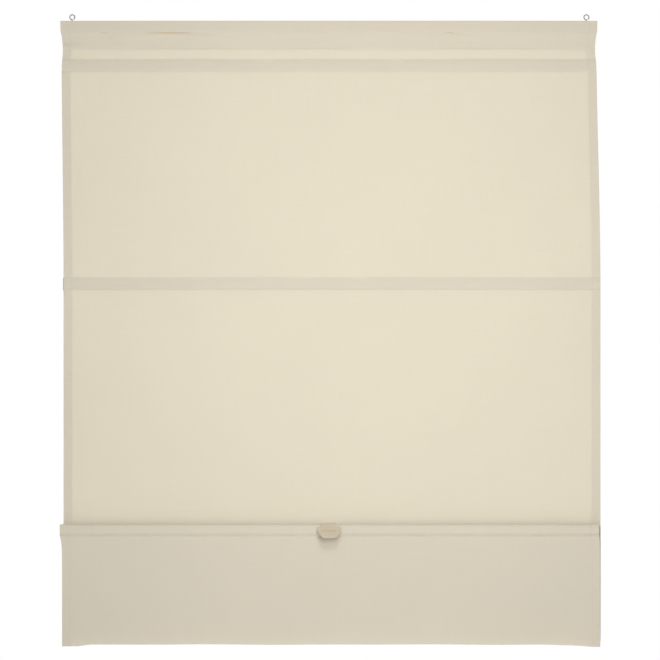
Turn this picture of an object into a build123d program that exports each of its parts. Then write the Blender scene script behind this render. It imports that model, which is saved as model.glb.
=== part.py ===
from build123d import *

import os
from math import atan2, cos, degrees, pi, radians, sin, sqrt

os.makedirs("parts", exist_ok=True)

# Roman blind, raised by hand: one cloth on a timber head batten, with four hollow rib battens in pockets
# sewn behind it. The lowest fold is hooked up: the lift handle on batten 4 hangs over batten 3.
#
# Millimetres. +Z is up, +X is to the right as seen from the room, and the cloth's face is towards -Y.
# The origin is midway between the holes of the two screw eyes that the blind hangs from.

# ---------------------------------------------------------------- driving dimensions

# Cloth. Drops are measured down the cloth, from its top edge or from one batten's middle to the next.
cloth_width = 1000.0
cloth_t = 0.6
eye_height = 6.8  # from the top edge of the cloth up to the screw eyes' centres
drop_to_rib_1 = 84.0
drop_1_to_2 = 409.0
drop_2_to_3 = 460.0
drop_3_to_4 = 460.0
flap_drop = 207.0
head_hem = 54.0
bottom_hem = 15.0
parting = 0.3  # gap between two stretches of the cloth that move apart

# Head batten and its screw eyes
head_h = 22.0
head_t = 12.0
head_edge_r = 1.0
head_inset = 3.0  # each end, inside the cloth's edge
eye_spacing = 963.0
eye_ring_r = 4.65  # to the wire's centre line
eye_wire = 2.0
eye_neck_r = 1.5
eye_mouth = 42.0  # degrees of the ring left open beside the neck
eye_shank = 18.0  # length below the top edge of the cloth
eye_tip = 3.0
eye_fit = 0.1  # radial, in the batten

# Rib battens: flat hollow aluminium with a plastic plug in each end
rib_h = 18.0
rib_t = 4.0
rib_wall = 0.8
rib_corner_r = 1.0
rib_inset = 3.0  # each end, from the cloth's edge to the tip of the plug
plug_nose = 5.0
plug_nose_r = 1.5
plug_tongue = 15.0
plug_fit = 0.1

# Pockets: a tape sewn behind the cloth above and below each batten
tape_t = 0.6
tape_inset = 1.0
tape_seam = 2.4
pocket_fit = 0.3  # from a batten to the cloth or tape beside it

# Fold: how far a hooked-up rib stands in front of the one that carries it, and how far the ends of
# the crest of cloth over batten 4 lie below the batten's top edge
fold_pitch = 15.0
crest_sink = 0.5

# Hooks, which reach over the batten behind and down its back
hook_t = 2.6
hook_lip_t = 2.2
hook_bite = 6.0
hook_fit = 0.3
slit_side_fit = 1.0  # each side of a hook's arm, where it passes through the cloth or a tape
slit_fit = 0.2  # above and below it
rib_hook_w = 24.0
rib_hook_at = {2: 120.0, 3: 60.0}  # rib: distance of each of its two hooks from the middle
rib_stud_d = 3.0
rib_stud_spacing = 14.0
stud_depth = 1.6
stud_fit = 0.1  # radial, in a batten's wall

# Lift handle: a plate studded to the front of pocket 4, its hook, and a sloping finger tab with a dish
plate_t = 2.2
plate_fit = 0.2
handle_w = 28.0
handle_lip_w = 22.0
handle_stud_d = 4.0
handle_stud_spacing = 16.0
tab_slope = 45.0
tab_t = 3.2
tab_edge_r = 0.9
tab_neck_w = 28.0
tab_neck = 4.0
tab_w = 45.0
tab_shoulder = 9.0
tab_waist = 20.0
tab_tip_w = 26.0
tab_length = 35.0
tab_corner_r = (2.0, 3.0, 12.0, 6.0)  # at the neck, shoulder, waist and tip
dish_w = 27.0
dish_tip_w = 18.0
dish_top = 17.0
dish_bottom = 31.5
dish_corner_r = (1.0, 4.0)  # at its top and tip
dish_depth = 1.4

# ---------------------------------------------------------------- worked out from them

half_t = cloth_t / 2
half_w = cloth_width / 2
cloth_top = -eye_height
rib_z = {1: cloth_top - drop_to_rib_1}
rib_z[2] = rib_z[1] - drop_1_to_2
rib_z[3] = rib_z[2] - drop_2_to_3
rib_z[4] = rib_z[3]  # hooked up level with rib 3
face_y = {1: 0.0, 2: 0.0, 3: 0.0, 4: -fold_pitch}  # middle of the cloth in front of each batten

# In a pocket, measured back from the middle of the cloth, and up or down from the batten's middle
batten_y = half_t + pocket_fit + rib_t / 2
tape_in_y = batten_y + rib_t / 2 + pocket_fit
tape_out_y = tape_in_y + tape_t
pocket_z = rib_h / 2 + pocket_fit
seam_z = pocket_z + tape_seam
arm_z = rib_h / 2 + hook_fit  # underside of a hook's arm
arm_top_z = arm_z + hook_t
join_z = arm_top_z + 1.0  # where one stretch of the cloth ends and the next begins
lip_y = tape_out_y + hook_fit

# The crest is the half round of cloth over batten 4, and the loop hangs down behind it.
crest_r = (lip_y + half_t) / 2
crest_y = face_y[4] + crest_r
crest_z = rib_z[4] + rib_h / 2 - crest_sink
loop_front_y = face_y[4] + 2 * crest_r
loop_r = -loop_front_y / 2
loop_run = (drop_3_to_4 - pi * (loop_r + crest_r) - 2 * (crest_z - rib_z[4])) / 2
loop_z = rib_z[3] - loop_run
flap_bottom = rib_z[4] - flap_drop

# Openings in the cloth and tapes where the handle's arm passes through
slit_w = handle_w + 2 * slit_side_fit
slit_h = hook_t + 2 * slit_fit


def facing(x, y, z, direction):
    """A plane at a point, with X across the blind, that faces a direction in the YZ plane."""
    return Plane(origin=(x, y, z), x_dir=(1, 0, 0), z_dir=direction)


front = (0, -1, 0)
back = (0, 1, 0)

# ---------------------------------------------------------------- head batten

head_top = cloth_top - cloth_t - pocket_fit
head_bottom = head_top - head_h
eye_bottom = cloth_top - eye_shank
eye_x = (-eye_spacing / 2, eye_spacing / 2)

with BuildPart() as head_batten:
    with BuildSketch(Plane.YZ):
        with Locations((0, (head_top + head_bottom) / 2)):
            RectangleRounded(head_t, head_h, head_edge_r)
    extrude(amount=half_w - head_inset, both=True)
    for x in eye_x:
        with Locations((x, 0, head_top)):
            Hole(eye_wire / 2 + eye_fit, depth=head_top - eye_bottom + eye_fit)
head_batten.part.label = "head_batten"
export_step(head_batten.part, "parts/head_batten.step")

# ---------------------------------------------------------------- screw eyes, each one bent wire

# The shank turns through a short neck arc into the ring, which goes round to stop short of the neck.
neck_z = -sqrt(eye_ring_r**2 + 2 * eye_ring_r * eye_neck_r)
neck_turn = degrees(atan2(-neck_z, eye_neck_r))
wire_bottom = eye_bottom + eye_tip

for side, x in zip(("left", "right"), eye_x):
    with BuildPart() as screw_eye:
        with BuildLine(facing(x, 0, 0, front)) as bent_wire:
            Line((0, wire_bottom), (0, neck_z))
            CenterArc((-eye_neck_r, neck_z), eye_neck_r, 0, neck_turn)
            CenterArc((0, 0), eye_ring_r, neck_turn + 180, eye_mouth - 360)
        with BuildSketch(Plane(origin=(x, 0, wire_bottom), z_dir=(0, 0, 1))):
            Circle(eye_wire / 2)
        sweep(path=bent_wire.line)
        with Locations((x, 0, eye_bottom)):
            Cone(eye_wire / 8, eye_wire / 2, eye_tip, align=(Align.CENTER, Align.CENTER, Align.MIN))
    screw_eye.part.label = f"screw_eye_{side}"
    export_step(screw_eye.part, f"parts/screw_eye_{side}.step")

# ---------------------------------------------------------------- cloth over the head batten

# The hem wraps the batten, narrows below it and is sewn to the back of the cloth at its lower edge.
wrap_y = head_t / 2 + pocket_fit
wrap_bottom = head_bottom - pocket_fit
hem_bottom = cloth_top - head_hem
hem_sewn_z = hem_bottom + 2 * tape_seam

with BuildPart() as cloth_head:
    with BuildSketch(Plane.YZ):
        with BuildLine():
            Polyline(
                (-half_t, rib_z[1] + join_z),
                (-half_t, hem_bottom),
                (-wrap_y - cloth_t, wrap_bottom),
                (-wrap_y - cloth_t, cloth_top),
                (wrap_y + cloth_t, cloth_top),
                (wrap_y + cloth_t, wrap_bottom),
                (half_t + cloth_t, hem_sewn_z),
                (half_t + cloth_t, hem_bottom),
                (half_t, hem_bottom),
                (half_t, rib_z[1] + join_z),
                close=True,
            )
        make_face()
        with BuildLine():
            Polyline(
                (-wrap_y, cloth_top - cloth_t),
                (wrap_y, cloth_top - cloth_t),
                (wrap_y, wrap_bottom),
                (half_t, hem_sewn_z),
                (-half_t, hem_sewn_z),
                (-wrap_y, wrap_bottom),
                close=True,
            )
        make_face(mode=Mode.SUBTRACT)
    extrude(amount=half_w, both=True)
    for x in eye_x:
        with Locations((x, 0, cloth_top)):
            Hole(eye_wire / 2 + 2 * eye_fit, depth=1.5 * cloth_t)
cloth_head.part.label = "cloth_head"
export_step(cloth_head.part, "parts/cloth_head.step")

# ---------------------------------------------------------------- the cloth's two hanging panels

for upper, gap in ((1, 0), (2, parting)):
    panel_top = rib_z[upper] + join_z - gap
    panel_bottom = rib_z[upper + 1] + join_z
    with BuildPart() as cloth_panel:
        with BuildSketch(Plane.YZ):
            with Locations((0, panel_bottom)):
                Rectangle(cloth_t, panel_top - panel_bottom, align=(Align.CENTER, Align.MIN))
        extrude(amount=half_w, both=True)
    cloth_panel.part.label = f"cloth_panel_{upper}_{upper + 1}"
    export_step(cloth_panel.part, f"parts/cloth_panel_{upper}_{upper + 1}.step")

# ---------------------------------------------------------------- the folded loop between ribs 3 and 4

loop_top = rib_z[3] + join_z - parting
loop_front_top = crest_z - parting

with BuildPart() as cloth_loop:
    with BuildSketch(Plane.YZ):
        with Locations((loop_front_y / 2, loop_z)):
            Circle(loop_r + half_t)
            Circle(loop_r - half_t, mode=Mode.SUBTRACT)
            Rectangle(
                2 * (loop_r + cloth_t),
                2 * loop_r,
                align=(Align.CENTER, Align.MIN),
                mode=Mode.SUBTRACT,
            )
        with Locations((0, loop_z)):
            Rectangle(cloth_t, loop_top - loop_z, align=(Align.CENTER, Align.MIN))
        with Locations((loop_front_y, loop_z)):
            Rectangle(cloth_t, loop_front_top - loop_z, align=(Align.CENTER, Align.MIN))
    extrude(amount=half_w, both=True)
    with Locations((0, 0, rib_z[3] + arm_z - slit_fit)):
        Box(
            slit_w,
            2 * cloth_t,
            slit_h,
            align=(Align.CENTER, Align.CENTER, Align.MIN),
            mode=Mode.SUBTRACT,
        )
cloth_loop.part.label = "cloth_loop_3_4"
export_step(cloth_loop.part, "parts/cloth_loop_3_4.step")

# ---------------------------------------------------------------- the flap, over the crest and down in front

stud_x = (-handle_stud_spacing / 2, handle_stud_spacing / 2)

with BuildPart() as cloth_flap:
    with BuildSketch(Plane.YZ):
        with Locations((crest_y, crest_z)):
            Circle(crest_r + half_t)
            Circle(crest_r - half_t, mode=Mode.SUBTRACT)
            Rectangle(
                2 * (crest_r + cloth_t),
                2 * crest_r,
                align=(Align.CENTER, Align.MAX),
                mode=Mode.SUBTRACT,
            )
        with Locations((face_y[4], flap_bottom)):
            Rectangle(cloth_t, crest_z - flap_bottom, align=(Align.CENTER, Align.MIN))
        with Locations((face_y[4] + cloth_t, flap_bottom)):
            Rectangle(cloth_t, bottom_hem, align=(Align.CENTER, Align.MIN))
    extrude(amount=half_w, both=True)
    with Locations((0, crest_y, rib_z[4] + arm_z - slit_fit)):
        Box(
            slit_w,
            2 * (crest_r + cloth_t),
            2 * crest_r,
            align=(Align.CENTER, Align.CENTER, Align.MIN),
            mode=Mode.SUBTRACT,
        )
    for x in stud_x:
        with Locations(facing(x, face_y[4] - half_t, rib_z[4], front)):
            Hole(handle_stud_d / 2 + 2 * stud_fit, depth=1.5 * cloth_t)
cloth_flap.part.label = "cloth_flap"
export_step(cloth_flap.part, "parts/cloth_flap.step")

# ---------------------------------------------------------------- rib battens and their end plugs


def hook_x(rib):
    """X of the middles of a rib's own two hooks."""
    return (-rib_hook_at[rib], rib_hook_at[rib]) if rib in rib_hook_at else ()


def rib_stud_x(rib):
    """X of the studs that hold a rib's own hooks."""
    return [x + side * rib_stud_spacing / 2 for x in hook_x(rib) for side in (-1, 1)]


tube_half = half_w - rib_inset - plug_nose

for rib, z in rib_z.items():
    y = face_y[rib] + batten_y
    with BuildPart() as batten:
        with BuildSketch(Plane.YZ):
            with Locations((y, z)):
                RectangleRounded(rib_t, rib_h, rib_corner_r)
                Rectangle(rib_t - 2 * rib_wall, rib_h - 2 * rib_wall, mode=Mode.SUBTRACT)
        extrude(amount=tube_half, both=True)
        for x in rib_stud_x(rib):
            with Locations(facing(x, y + rib_t / 2, z, back)):
                Hole(rib_stud_d / 2 + stud_fit, depth=1.5 * rib_wall)
        if rib == 4:
            for x in stud_x:
                with Locations(facing(x, y - rib_t / 2, z, front)):
                    Hole(handle_stud_d / 2 + stud_fit, depth=1.5 * rib_wall)
    batten.part.label = f"batten_{rib}"
    export_step(batten.part, f"parts/batten_{rib}.step")

    for side, out in (("left", -1), ("right", 1)):
        with BuildPart() as end_plug:
            with BuildSketch(Plane.YZ.offset(out * tube_half)):
                with Locations((y, z)):
                    RectangleRounded(rib_t, rib_h, rib_corner_r)
            extrude(amount=out * plug_nose)
            nose = end_plug.faces().sort_by(Axis.X)[-1 if out > 0 else 0]
            fillet(nose.edges(), min(plug_nose_r, 0.4 * rib_t))
            with BuildSketch(Plane.YZ.offset(out * tube_half)):
                with Locations((y, z)):
                    Rectangle(
                        rib_t - 2 * (rib_wall + plug_fit),
                        rib_h - 2 * (rib_wall + plug_fit),
                    )
            extrude(amount=-out * plug_tongue)
        end_plug.part.label = f"end_plug_{rib}_{side}"
        export_step(end_plug.part, f"parts/end_plug_{rib}_{side}.step")

# ---------------------------------------------------------------- pocket tapes

# A hook from the rib below passes over the batten through a gap in the tape's top.
caught_at = {1: hook_x(2), 2: hook_x(3), 3: (0.0,)}
tape_half = half_w - tape_inset
tape_depth = tape_out_y - half_t

for rib in (1, 2, 3):
    z = rib_z[rib]
    with BuildPart() as tape:
        with BuildSketch(Plane.YZ):
            with Locations((face_y[rib] + half_t, z)):
                Rectangle(tape_t, 2 * seam_z, align=(Align.MIN, Align.CENTER))
                Rectangle(tape_depth, 2 * (pocket_z + tape_t), align=(Align.MIN, Align.CENTER))
                Rectangle(
                    tape_depth - tape_t,
                    2 * pocket_z,
                    align=(Align.MIN, Align.CENTER),
                    mode=Mode.SUBTRACT,
                )
        extrude(amount=tape_half, both=True)
        for x in caught_at[rib]:
            with Locations((x, tape_out_y / 2, z + arm_z - slit_fit)):
                Box(
                    slit_w,
                    tape_out_y + cloth_t,
                    seam_z,
                    align=(Align.CENTER, Align.CENTER, Align.MIN),
                    mode=Mode.SUBTRACT,
                )
        for x in rib_stud_x(rib):
            with Locations(facing(x, tape_out_y, z, back)):
                Hole(rib_stud_d / 2 + 2 * stud_fit, depth=1.5 * tape_t)
    tape.part.label = f"pocket_tape_{rib}"
    export_step(tape.part, f"parts/pocket_tape_{rib}.step")

# Over the crest, tape 4's upper edge stands behind the batten, and only its lower seam meets the flap.
with BuildPart() as tape:
    with BuildSketch(Plane.YZ):
        with Locations((face_y[4] + half_t, rib_z[4])):
            Rectangle(tape_t, seam_z, align=(Align.MIN, Align.MAX))
            Rectangle(tape_depth, pocket_z + tape_t, align=(Align.MIN, Align.MAX))
            Rectangle(
                tape_depth - tape_t,
                pocket_z,
                align=(Align.MIN, Align.MAX),
                mode=Mode.SUBTRACT,
            )
        with Locations((face_y[4] + tape_in_y, rib_z[4])):
            Rectangle(tape_t, rib_h / 2 - pocket_fit, align=(Align.MIN, Align.MIN))
    extrude(amount=tape_half, both=True)
tape.part.label = "pocket_tape_4"
export_step(tape.part, "parts/pocket_tape_4.step")

# ---------------------------------------------------------------- rib hooks on the backs of ribs 2 and 3

# Each is a plate behind the pocket, an arm as long as the fold's pitch, and a lip.
for rib in rib_hook_at:
    z = rib_z[rib]
    for side, x in zip(("left", "right"), hook_x(rib)):
        with BuildPart() as rib_hook:
            with BuildSketch(Plane.YZ.offset(x)):
                with Locations((lip_y, z + arm_top_z)):
                    Rectangle(hook_lip_t, arm_top_z + rib_h / 2, align=(Align.MIN, Align.MAX))
                    Rectangle(fold_pitch + hook_lip_t, hook_t, align=(Align.MIN, Align.MAX))
                with Locations((lip_y + fold_pitch, z + arm_top_z)):
                    Rectangle(hook_lip_t, hook_t + hook_bite, align=(Align.MIN, Align.MAX))
            extrude(amount=rib_hook_w / 2, both=True)
            top_edges = rib_hook.faces().sort_by(Axis.Z)[-1].edges().filter_by(Axis.X)
            fillet(top_edges, hook_lip_t / 2)
            stud_length = lip_y - batten_y - rib_t / 2 + stud_depth
            for stud in (-rib_stud_spacing / 2, rib_stud_spacing / 2):
                with Locations(facing(x + stud, lip_y, z, front)):
                    Cylinder(
                        rib_stud_d / 2,
                        stud_length,
                        align=(Align.CENTER, Align.CENTER, Align.MIN),
                    )
        rib_hook.part.label = f"rib_hook_{rib}_{side}"
        export_step(rib_hook.part, f"parts/rib_hook_{rib}_{side}.step")

# ---------------------------------------------------------------- lift handle

plate_back_y = face_y[4] - half_t - plate_fit
plate_front_y = plate_back_y - plate_t
handle_top = rib_z[4] + arm_top_z
slope = radians(tab_slope)
tab_plane = facing(0, plate_front_y, handle_top, (0, -sin(slope), cos(slope)))


def mirrored(half_points):
    """An outline's points from its left end, down and round to its right end."""
    return [(-x, y) for x, y in half_points] + half_points[::-1]


tab_points = mirrored(
    [
        (tab_neck_w / 2, 0),
        (tab_neck_w / 2, -tab_neck),
        (tab_w / 2, -tab_shoulder),
        (tab_w / 2, -tab_waist),
        (tab_tip_w / 2, -tab_length),
    ]
)
dish_points = mirrored([(dish_w / 2, -dish_top), (dish_tip_w / 2, -dish_bottom)])

with BuildPart() as lift_handle:
    with BuildSketch(tab_plane):
        with BuildLine():
            outline = FilletPolyline(*tab_points, radius=[*tab_corner_r, *tab_corner_r[::-1]])
            Line(outline @ 0, outline @ 1)
        make_face()
    extrude(amount=-tab_t)
    rims = [face.edges().sort_by(Axis.Z)[:-1] for face in lift_handle.faces().filter_by(tab_plane)]
    fillet(rims[0] + rims[1], tab_edge_r)
    with BuildSketch(tab_plane):
        with BuildLine():
            Polyline(*dish_points, close=True)
        make_face()
        fillet(vertices().group_by(Axis.Y)[-1], dish_corner_r[0])
        fillet(vertices().group_by(Axis.Y)[0], dish_corner_r[1])
    extrude(amount=-dish_depth, mode=Mode.SUBTRACT)
    with BuildSketch(Plane.YZ):
        with Locations((plate_front_y, handle_top)):
            Rectangle(plate_t, arm_top_z + rib_h / 2, align=(Align.MIN, Align.MAX))
            Rectangle(lip_y + hook_lip_t - plate_front_y, hook_t, align=(Align.MIN, Align.MAX))
    extrude(amount=handle_w / 2, both=True)
    with BuildSketch(Plane.YZ):
        with Locations((lip_y, handle_top)):
            Rectangle(hook_lip_t, hook_t + hook_bite, align=(Align.MIN, Align.MAX))
    extrude(amount=handle_lip_w / 2, both=True)
    stud_length = face_y[4] + batten_y - rib_t / 2 - plate_back_y + stud_depth
    for x in stud_x:
        with Locations(facing(x, plate_back_y, rib_z[4], back)):
            Cylinder(handle_stud_d / 2, stud_length, align=(Align.CENTER, Align.CENTER, Align.MIN))
lift_handle.part.label = "lift_handle"
export_step(lift_handle.part, "parts/lift_handle.step")
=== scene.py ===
import math

import bpy
import numpy as np
from bpy.props import FloatProperty, FloatVectorProperty, PointerProperty
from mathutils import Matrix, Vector


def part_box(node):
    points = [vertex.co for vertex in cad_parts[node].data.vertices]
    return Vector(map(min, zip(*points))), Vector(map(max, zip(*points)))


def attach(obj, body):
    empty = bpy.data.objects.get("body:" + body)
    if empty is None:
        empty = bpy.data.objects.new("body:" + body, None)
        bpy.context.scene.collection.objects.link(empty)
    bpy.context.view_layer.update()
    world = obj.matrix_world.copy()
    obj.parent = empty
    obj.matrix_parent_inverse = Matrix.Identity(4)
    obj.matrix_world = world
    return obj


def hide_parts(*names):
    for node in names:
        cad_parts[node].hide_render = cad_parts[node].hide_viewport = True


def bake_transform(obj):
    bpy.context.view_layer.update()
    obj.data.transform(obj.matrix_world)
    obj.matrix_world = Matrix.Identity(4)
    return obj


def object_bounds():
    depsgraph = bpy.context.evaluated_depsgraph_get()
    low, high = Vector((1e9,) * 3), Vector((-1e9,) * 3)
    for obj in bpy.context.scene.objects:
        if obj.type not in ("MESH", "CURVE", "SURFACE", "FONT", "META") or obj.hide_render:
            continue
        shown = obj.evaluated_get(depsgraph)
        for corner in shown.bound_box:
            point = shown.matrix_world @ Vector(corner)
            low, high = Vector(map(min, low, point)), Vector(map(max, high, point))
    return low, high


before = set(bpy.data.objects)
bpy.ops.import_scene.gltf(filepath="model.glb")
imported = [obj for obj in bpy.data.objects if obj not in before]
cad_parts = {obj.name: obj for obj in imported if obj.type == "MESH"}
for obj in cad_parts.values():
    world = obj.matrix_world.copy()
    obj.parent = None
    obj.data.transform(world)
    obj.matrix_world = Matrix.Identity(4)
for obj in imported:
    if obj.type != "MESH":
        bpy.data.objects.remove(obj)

bl_info = {
    "name": "Hand-folded Roman Blind",
    "version": (1, 0, 0),
    "blender": (4, 5, 0),
    "location": "View3D > Sidebar > Blind",
    "description": "Cloth, pocket tapes, stitching and finishes of a Roman blind, round its packed frame",
    "category": "Add Mesh",
}

CAD_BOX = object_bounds()
MM = 0.001
RIBS = (1, 2, 3, 4)
SEED = 11


def low(node, axis):
    """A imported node's lowest place along an axis."""
    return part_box(node)[0]["xyz".index(axis)]


def high(node, axis):
    """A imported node's highest place along an axis."""
    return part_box(node)[1]["xyz".index(axis)]


# Places that the cloth keeps to, read from the frame. Those of the cloth are at its middle, not its face.
RIB_Z = {rib: (low(f"batten_{rib}", "z") + high(f"batten_{rib}", "z")) / 2 for rib in RIBS}
RIB_H = high("batten_1", "z") - low("batten_1", "z")
CLOTH_T = high("cloth_panel_1_2", "y") - low("cloth_panel_1_2", "y")
HALF_W = high("cloth_panel_1_2", "x")
SEAM_Z = (high("pocket_tape_1", "z") - low("pocket_tape_1", "z")) / 2  # half the height of a tape
JOIN_Z = low("cloth_head", "z") - RIB_Z[1]  # from a rib's middle up to where two stretches of cloth meet
CLOTH_TOP = high("cloth_head", "z") - CLOTH_T / 2
WRAP_Y = high("cloth_head", "y") - CLOTH_T / 2  # half the depth of the wrap round the head batten
HEAD_BOTTOM = low("head_batten", "z")
FLAP_Y = low("cloth_flap", "y") + CLOTH_T / 2
LOOP_Y = low("cloth_loop_3_4", "y") + CLOTH_T / 2
CREST_R = (LOOP_Y - FLAP_Y) / 2
CREST_Z = high("cloth_flap", "z") - CLOTH_T / 2 - CREST_R
FOLD_Z = low("cloth_flap", "z") - 1.5 * MM  # lowest place of the folded loop
FOOT_Z = low("cloth_loop_3_4", "z")  # of the flap, which hangs a little lower
BODY_OF_RIB = {1: "head", 2: "rib_2", 3: "rib_3", 4: "rib_4"}
HOOKS_OVER_RIB = {
    1: ("rib_hook_2_left", "rib_hook_2_right"),
    2: ("rib_hook_3_left", "rib_hook_3_right"),
    3: ("lift_handle",),
}

# How the cloth hangs and is cut
FRONT_DRAPE = 9.0 * MM  # how soon the cloth comes back to its plane under the head batten, in front
HEM_DRAPE = 12.0 * MM  # the same for the hem behind
EDGE_INSET = 1.0 * MM  # from the nominal edge to the last plain column, and to a tape's end
SEAM_LINE = SEAM_Z - 0.9 * MM  # from a batten's middle to its pocket's stitching
HEM_SEAM = 2.4 * MM  # from the end of the head's hem to its stitching
SIDE_SEAM = 2.0 * MM  # from a side hem's inner edge out to its stitching
FINE_REACH = 15.0 * MM  # how far from a batten's middle the rows are fine
FINE_PITCH = 0.9 * MM  # from one of those rows to the next
ARM_HALF = 15.0 * MM  # half the width left open for a hook's arm
ARM_DROP = 2.8 * MM  # from the top of a hook's arm down to the edge of its opening
ARM_CLEAR = 0.2 * MM  # above an arm in its opening
CHANNEL_HALF = 9.7 * MM  # half the height of a tape's channel
STITCH_ENDS = (-0.497, 0.5)  # from the first to past the last stitch of a row

# Stage: each light's width and height, its place and the point that it faces; the floor's disc, and how
# far it lies below the blind
KEY_LIGHT = ((0.35, 0.35), (0.07, -1.6, 0.45), (0.03, 0.0, -0.7))
FILL_LIGHT = ((0.5, 0.9), (0.13, -1.6, -0.64), (0.12, 0.0, -0.64))
FLOOR_DROP = 0.56
FLOOR_RADIUS = 4.2
FLOOR_SIDES = 96


# ---------------------------------------------------------------- sizes and colours


class BlindClothSizes(bpy.types.PropertyGroup):
    ease: FloatProperty(
        name="Width ease",
        description="How far each side of the cloth hangs outside its nominal half width",
        default=1.5 * MM,
        unit="LENGTH",
    )
    sway: FloatProperty(
        name="Sway",
        description="How far the lower ribs' cloth has slid to the right along its battens",
        default=4.0 * MM,
        unit="LENGTH",
    )
    side_hem: FloatProperty(
        name="Side hem",
        description="Width of the cloth turned back at each side",
        default=16.0 * MM,
        unit="LENGTH",
    )
    head_hem: FloatProperty(
        name="Head hem",
        description="Drop from the top of the cloth to the end of the hem round the head batten",
        default=54.0 * MM,
        unit="LENGTH",
    )
    layer_gap: FloatProperty(
        name="Hem layer pitch",
        description="Distance from the middle of the cloth to the middle of a layer sewn behind it",
        default=0.66 * MM,
        unit="LENGTH",
    )
    bulge: FloatProperty(
        name="Batten bulge",
        description="How far a batten pushes the cloth in front of it forward",
        default=1.1 * MM,
        unit="LENGTH",
    )
    seam_pull: FloatProperty(
        name="Seam pull",
        description="How deep a pocket's seams draw the cloth in",
        default=0.45 * MM,
        unit="LENGTH",
    )
    ripple: FloatProperty(
        name="Ripple",
        description="Height of the slow ripples between two ribs",
        default=0.9 * MM,
        unit="LENGTH",
    )
    row_pitch: FloatProperty(
        name="Mesh pitch",
        description="Spacing of the cloth's points where it hangs plain",
        default=5.0 * MM,
        unit="LENGTH",
    )


class BlindStitchSizes(bpy.types.PropertyGroup):
    pitch: FloatProperty(
        name="Stitch pitch",
        description="Distance from one stitch to the next",
        default=3.0 * MM,
        unit="LENGTH",
    )
    length: FloatProperty(
        name="Stitch length",
        description="Length of thread that shows at each stitch",
        default=2.4 * MM,
        unit="LENGTH",
    )
    thread: FloatProperty(
        name="Thread",
        description="Thickness of the sewing thread",
        default=0.3 * MM,
        unit="LENGTH",
    )


class BlindColours(bpy.types.PropertyGroup):
    cloth: FloatVectorProperty(
        name="Cloth",
        description="Ecru of the plain-weave cloth",
        default=(0.845, 0.796, 0.677),
        subtype="COLOR",
        min=0,
        max=1,
    )
    tape: FloatVectorProperty(
        name="Tape",
        description="Paler tape of the rib pockets",
        default=(0.86, 0.83, 0.74),
        subtype="COLOR",
        min=0,
        max=1,
    )
    thread: FloatVectorProperty(
        name="Thread",
        description="Sewing thread",
        default=(0.80, 0.745, 0.625),
        subtype="COLOR",
        min=0,
        max=1,
    )
    timber: FloatVectorProperty(
        name="Timber",
        description="Planed softwood of the head batten",
        default=(0.62, 0.42, 0.23),
        subtype="COLOR",
        min=0,
        max=1,
    )
    handle: FloatVectorProperty(
        name="Lift handle",
        description="Beige plastic of the lift handle",
        default=(0.65, 0.575, 0.44),
        subtype="COLOR",
        min=0,
        max=1,
    )


class BlindStageSizes(bpy.types.PropertyGroup):
    distance: FloatProperty(
        name="Camera distance",
        description="From the cloth to the camera",
        default=12.0,
        unit="LENGTH",
    )
    field: FloatProperty(
        name="Field width",
        description="Width of the view at the cloth",
        default=1.2362,
        unit="LENGTH",
    )
    centre_x: FloatProperty(
        name="View centre across",
        description="How far right of the hanging line's middle the camera stands",
        default=1.2 * MM,
        unit="LENGTH",
    )
    centre_z: FloatProperty(
        name="View centre height",
        description="Height of the camera, from the hanging line",
        default=-0.5857,
        unit="LENGTH",
    )
    key_power: FloatProperty(
        name="Key light",
        description="Power of the small light above and in front",
        default=9.7,
        unit="POWER",
    )
    fill_power: FloatProperty(
        name="Fill light",
        description="Power of the tall soft light square to the flap",
        default=14.3,
        unit="POWER",
    )
    front_light: FloatProperty(
        name="Front surround",
        description="Brightness of the surroundings in front of the blind",
        default=0.3,
    )
    back_light: FloatProperty(
        name="Back surround",
        description="Brightness of the white surroundings behind the blind",
        default=1.0,
    )


# ---------------------------------------------------------------- shader maths


class Socket:
    """An output socket that takes part in Python arithmetic: each operator adds one Math node."""

    def __init__(self, shader, socket):
        self.shader = shader
        self.socket = socket

    def math(self, operation, first, second):
        node = self.shader.node("ShaderNodeMath", {"operation": operation}, {0: first, 1: second})
        return node["Value"]

    def __add__(self, other):
        return self.math("ADD", self, other)

    def __radd__(self, other):
        return self.math("ADD", other, self)

    def __sub__(self, other):
        return self.math("SUBTRACT", self, other)

    def __rsub__(self, other):
        return self.math("SUBTRACT", other, self)

    def __mul__(self, other):
        return self.math("MULTIPLY", self, other)

    def __rmul__(self, other):
        return self.math("MULTIPLY", other, self)

    def sine(self):
        return self.math("SINE", self, 0.0)

    def absolute(self):
        return self.math("ABSOLUTE", self, 0.0)

    def below(self, limit):
        """1 where the value is under the limit, else 0."""
        return self.math("LESS_THAN", self, limit)


class Outputs:
    """A node's output sockets by name or number."""

    def __init__(self, shader, node):
        self.shader = shader
        self.node = node

    def __getitem__(self, name):
        return Socket(self.shader, self.node.outputs[name])


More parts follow.
